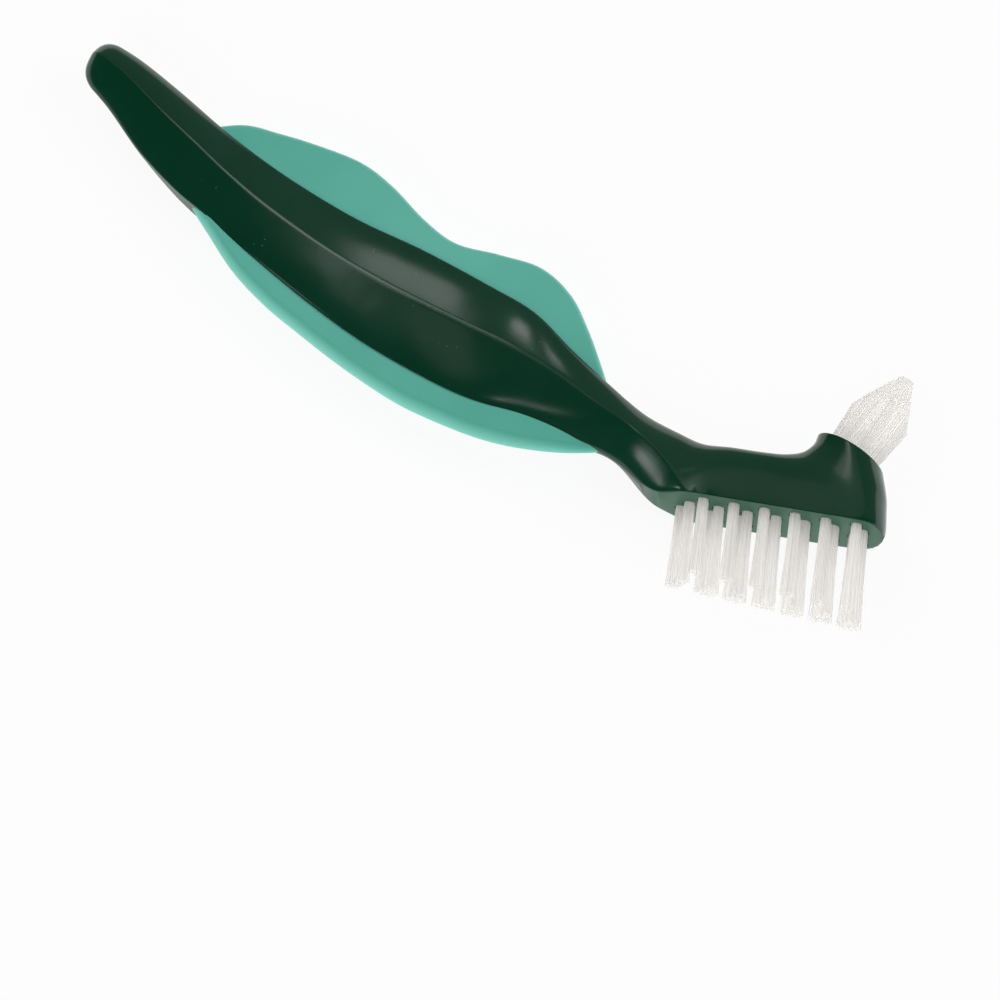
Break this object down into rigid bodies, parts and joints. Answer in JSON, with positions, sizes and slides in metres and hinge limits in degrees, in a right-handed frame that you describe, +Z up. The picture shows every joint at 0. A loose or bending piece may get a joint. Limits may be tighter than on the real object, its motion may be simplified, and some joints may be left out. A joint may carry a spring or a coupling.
{
  "type": "denture brush",
  "caption": "Denture brush with a tapering moulded handle, a leaf-shaped soft rubber grip, a flat field of tufts under the head and a pointed tuft on the boss above it.",
  "frame": {"origin": "on the surface that the brush lies on, under the middle of its bounding box", "axes": "+X along the brush from the tail to the head, +Y towards the back of the brush and the pointed tuft, +Z up from the surface that it lies on"},
  "size_m": [0.1816, 0.0589, 0.0137],
  "materials": {
    "handle": "glossy dark green moulded plastic",
    "grip": "satin blue-green soft rubber",
    "bristles": "clear-white nylon filaments",
    "staples": "plain brass wire staples"
  },
  "bodies": {
    "root": {"handle": "handle", "grip": "grip", "staples": "staples", "tuft_a1": "bristles", "tuft_a2": "bristles", "tuft_a3": "bristles", "tuft_a4": "bristles", "tuft_a5": "bristles", "tuft_a6": "bristles", "tuft_b1": "bristles", "tuft_b2": "bristles", "tuft_b3": "bristles", "tuft_b4": "bristles", "tuft_b5": "bristles", "tuft_b6": "bristles", "tuft_b7": "bristles", "tuft_c1": "bristles", "tuft_c2": "bristles", "tuft_c3": "bristles", "tuft_c4": "bristles", "tuft_c5": "bristles", "tuft_c6": "bristles", "tuft_c7": "bristles", "tuft_d1": "bristles", "tuft_d2": "bristles", "tuft_d3": "bristles", "tuft_d4": "bristles", "tuft_d5": "bristles", "tuft_d6": "bristles", "point_tuft_1": "bristles", "point_tuft_2": "bristles", "point_tuft_3": "bristles", "point_tuft_4": "bristles", "point_tuft_5": "bristles", "point_tuft_6": "bristles", "point_tuft_7": "bristles"}
  },
  "joints": []
}
